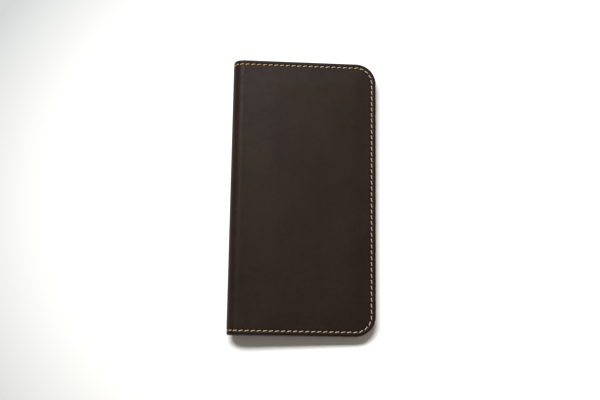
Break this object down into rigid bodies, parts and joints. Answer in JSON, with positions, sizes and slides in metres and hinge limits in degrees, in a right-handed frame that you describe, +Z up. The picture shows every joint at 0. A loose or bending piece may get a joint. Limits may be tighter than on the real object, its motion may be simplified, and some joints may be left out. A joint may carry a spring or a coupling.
{
  "type": "long wallet",
  "caption": "Long book-type leather wallet with round outer corners and contrast edge stitching; card slots, bill pockets and a zipped coin pocket inside.",
  "frame": {"origin": "on the resting surface, under the middle of the closed wallet's bounding box", "axes": "+Y along the fold, the wallet's longest side; +X from the fold to the open edge; +Z up through the closed wallet's thickness, from the back cover to the front cover"},
  "size_m": [0.1, 0.19, 0.015],
  "materials": {
    "cover_leather": "smooth dark chocolate leather, soft sheen",
    "inner_leather": "smooth dark brown leather, a little lighter than the cover",
    "lining_leather": "thin matte brown lining leather",
    "thread": "waxed cream thread",
    "zip_tape": "woven dark brown tape",
    "zip_brass": "satin brass teeth",
    "slider_brass": "polished brass"
  },
  "bodies": {
    "back": {"back_cover": "cover_leather", "back_lining": "lining_leather", "back_edge_stitches": "thread", "bill_panel": "inner_leather", "coin_panel": "inner_leather", "coin_base_stitches": "thread", "zip_stitches": "thread", "zip_tape_near_fold": "zip_tape", "zip_tape_far": "zip_tape", "zip_teeth_near_fold": "zip_brass", "zip_teeth_far": "zip_brass", "zip_top_stops": "zip_brass", "zip_bottom_stop": "zip_brass"},
    "fold_lower": {"fold_cover_lower": "cover_leather", "fold_lining_lower": "lining_leather", "fold_stitches_lower": "thread"},
    "fold_upper": {"fold_cover_upper": "cover_leather", "fold_lining_upper": "lining_leather", "fold_stitches_upper": "thread"},
    "front": {"front_cover": "cover_leather", "front_lining": "lining_leather", "front_edge_stitches": "thread", "card_panel": "inner_leather", "card_slot_1": "inner_leather", "card_slot_2": "inner_leather", "card_slot_3": "inner_leather", "card_slot_4": "inner_leather", "card_centre_stitches": "thread", "card_base_stitches": "thread"},
    "zip_slider": {"zip_slider_top": "slider_brass", "zip_slider_bottom": "slider_brass"},
    "zip_pull": {"zip_pull": "slider_brass"}
  },
  "joints": [
    {"name": "fold_hinge_1", "type": "hinge", "parent": "back", "child": "fold_lower", "pos_m": [-0.04632, 0, 0.00105], "axis": [0, -1, 0], "range_deg": [0, 61.28]},
    {"name": "fold_hinge_2", "type": "hinge", "parent": "fold_lower", "child": "fold_upper", "pos_m": [-0.05, 0, 0.00775], "axis": [0, -1, 0], "range_deg": [0, 61.28]},
    {"name": "fold_hinge_3", "type": "hinge", "parent": "fold_upper", "child": "front", "pos_m": [-0.04588, 0, 0.01419], "axis": [0, -1, 0], "range_deg": [0, 61.28]},
    {"name": "zip_slide", "type": "slide", "parent": "back", "child": "zip_slider", "axis": [0, -1, 0], "range_m": [0, 0.137]},
    {"name": "pull_swing", "type": "hinge", "parent": "zip_slider", "child": "zip_pull", "pos_m": [-0.028, 0.0685, 0.0075], "axis": [-1, 0, 0], "range_deg": [0, 3.5]}
  ],
  "couplings": [
    {"joint": "fold_hinge_1", "follows": "fold_hinge_3", "ratio": 1},
    {"joint": "fold_hinge_2", "follows": "fold_hinge_3", "ratio": 1}
  ]
}
